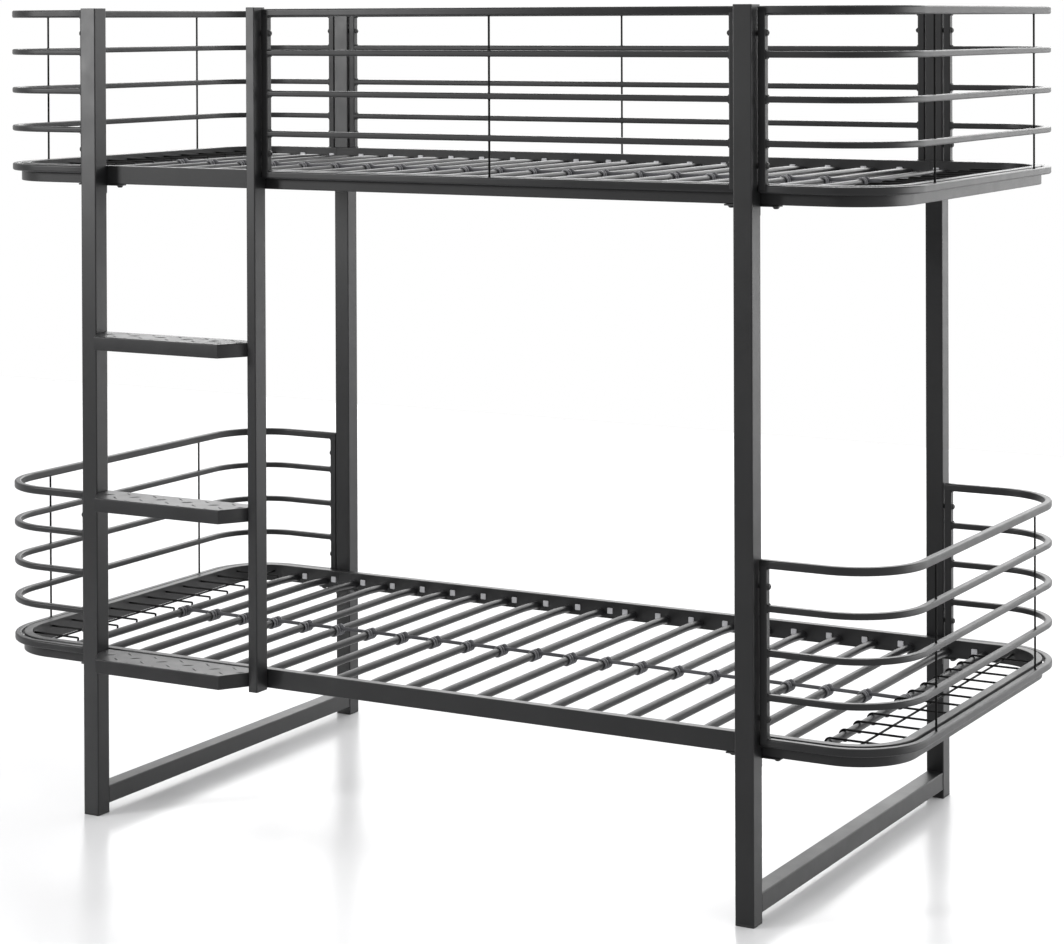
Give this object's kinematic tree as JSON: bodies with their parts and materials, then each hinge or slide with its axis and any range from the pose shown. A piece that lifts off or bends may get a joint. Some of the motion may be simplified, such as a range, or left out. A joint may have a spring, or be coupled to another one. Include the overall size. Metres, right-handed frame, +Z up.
{
  "type": "bunk bed",
  "caption": "Black steel bunk bed with rounded ends, bar guards, round slats with wire mesh ends and a front ladder of chamfered plate treads",
  "frame": {"origin": "centre of the bounding box at floor level", "axes": "+X along the bed towards the end away from the ladder, +Y from the front (ladder side) to the back, +Z up"},
  "size_m": [2.0796, 1.0492, 1.6797],
  "materials": {
    "frame_coat": "satin black powder coat",
    "slat_coat": "satin dark grey coat on round tube",
    "mesh_wire": "black coated wire",
    "tread_coat": "satin black powder coat over embossed sheet",
    "fastener": "black button head bolt",
    "foot_plastic": "matte black"
  },
  "bodies": {
    "root": {"bolt_ladder_high": "fastener", "bolt_ladder_low": "fastener", "bolt_lower_back_left_high": "fastener", "bolt_lower_back_left_low": "fastener", "bolt_lower_back_right_high": "fastener", "bolt_lower_back_right_low": "fastener", "bolt_lower_front_left_high": "fastener", "bolt_lower_front_left_low": "fastener", "bolt_lower_front_right_high": "fastener", "bolt_lower_front_right_low": "fastener", "bolt_upper_back_left_high": "fastener", "bolt_upper_back_left_low": "fastener", "bolt_upper_back_right_high": "fastener", "bolt_upper_back_right_low": "fastener", "bolt_upper_front_left_high": "fastener", "bolt_upper_front_left_low": "fastener", "bolt_upper_front_right_high": "fastener", "bolt_upper_front_right_low": "fastener", "floor_bar_left": "frame_coat", "floor_bar_right": "frame_coat", "foot_back_left": "foot_plastic", "foot_back_right": "foot_plastic", "foot_front_left": "foot_plastic", "foot_front_right": "foot_plastic", "guard_lower_left": "frame_coat", "guard_lower_right": "frame_coat", "guard_upper_back": "frame_coat", "guard_upper_front": "frame_coat", "guard_upper_left": "frame_coat", "guard_upper_right": "frame_coat", "ladder_plug": "foot_plastic", "ladder_post": "frame_coat", "mesh_lower_left": "mesh_wire", "mesh_lower_right": "mesh_wire", "mesh_upper_left": "mesh_wire", "mesh_upper_right": "mesh_wire", "post_back_left": "frame_coat", "post_back_right": "frame_coat", "post_front_left": "frame_coat", "post_front_right": "frame_coat", "rail_lower_back": "frame_coat", "rail_lower_end_left": "frame_coat", "rail_lower_end_right": "frame_coat", "rail_lower_front": "frame_coat", "rail_upper_back": "frame_coat", "rail_upper_end_left": "frame_coat", "rail_upper_end_right": "frame_coat", "rail_upper_front": "frame_coat", "slats_lower_left": "slat_coat", "slats_lower_right": "slat_coat", "slats_upper_left": "slat_coat", "slats_upper_right": "slat_coat", "tread_lower": "tread_coat", "tread_middle": "tread_coat", "tread_upper": "tread_coat"}
  },
  "joints": []
}
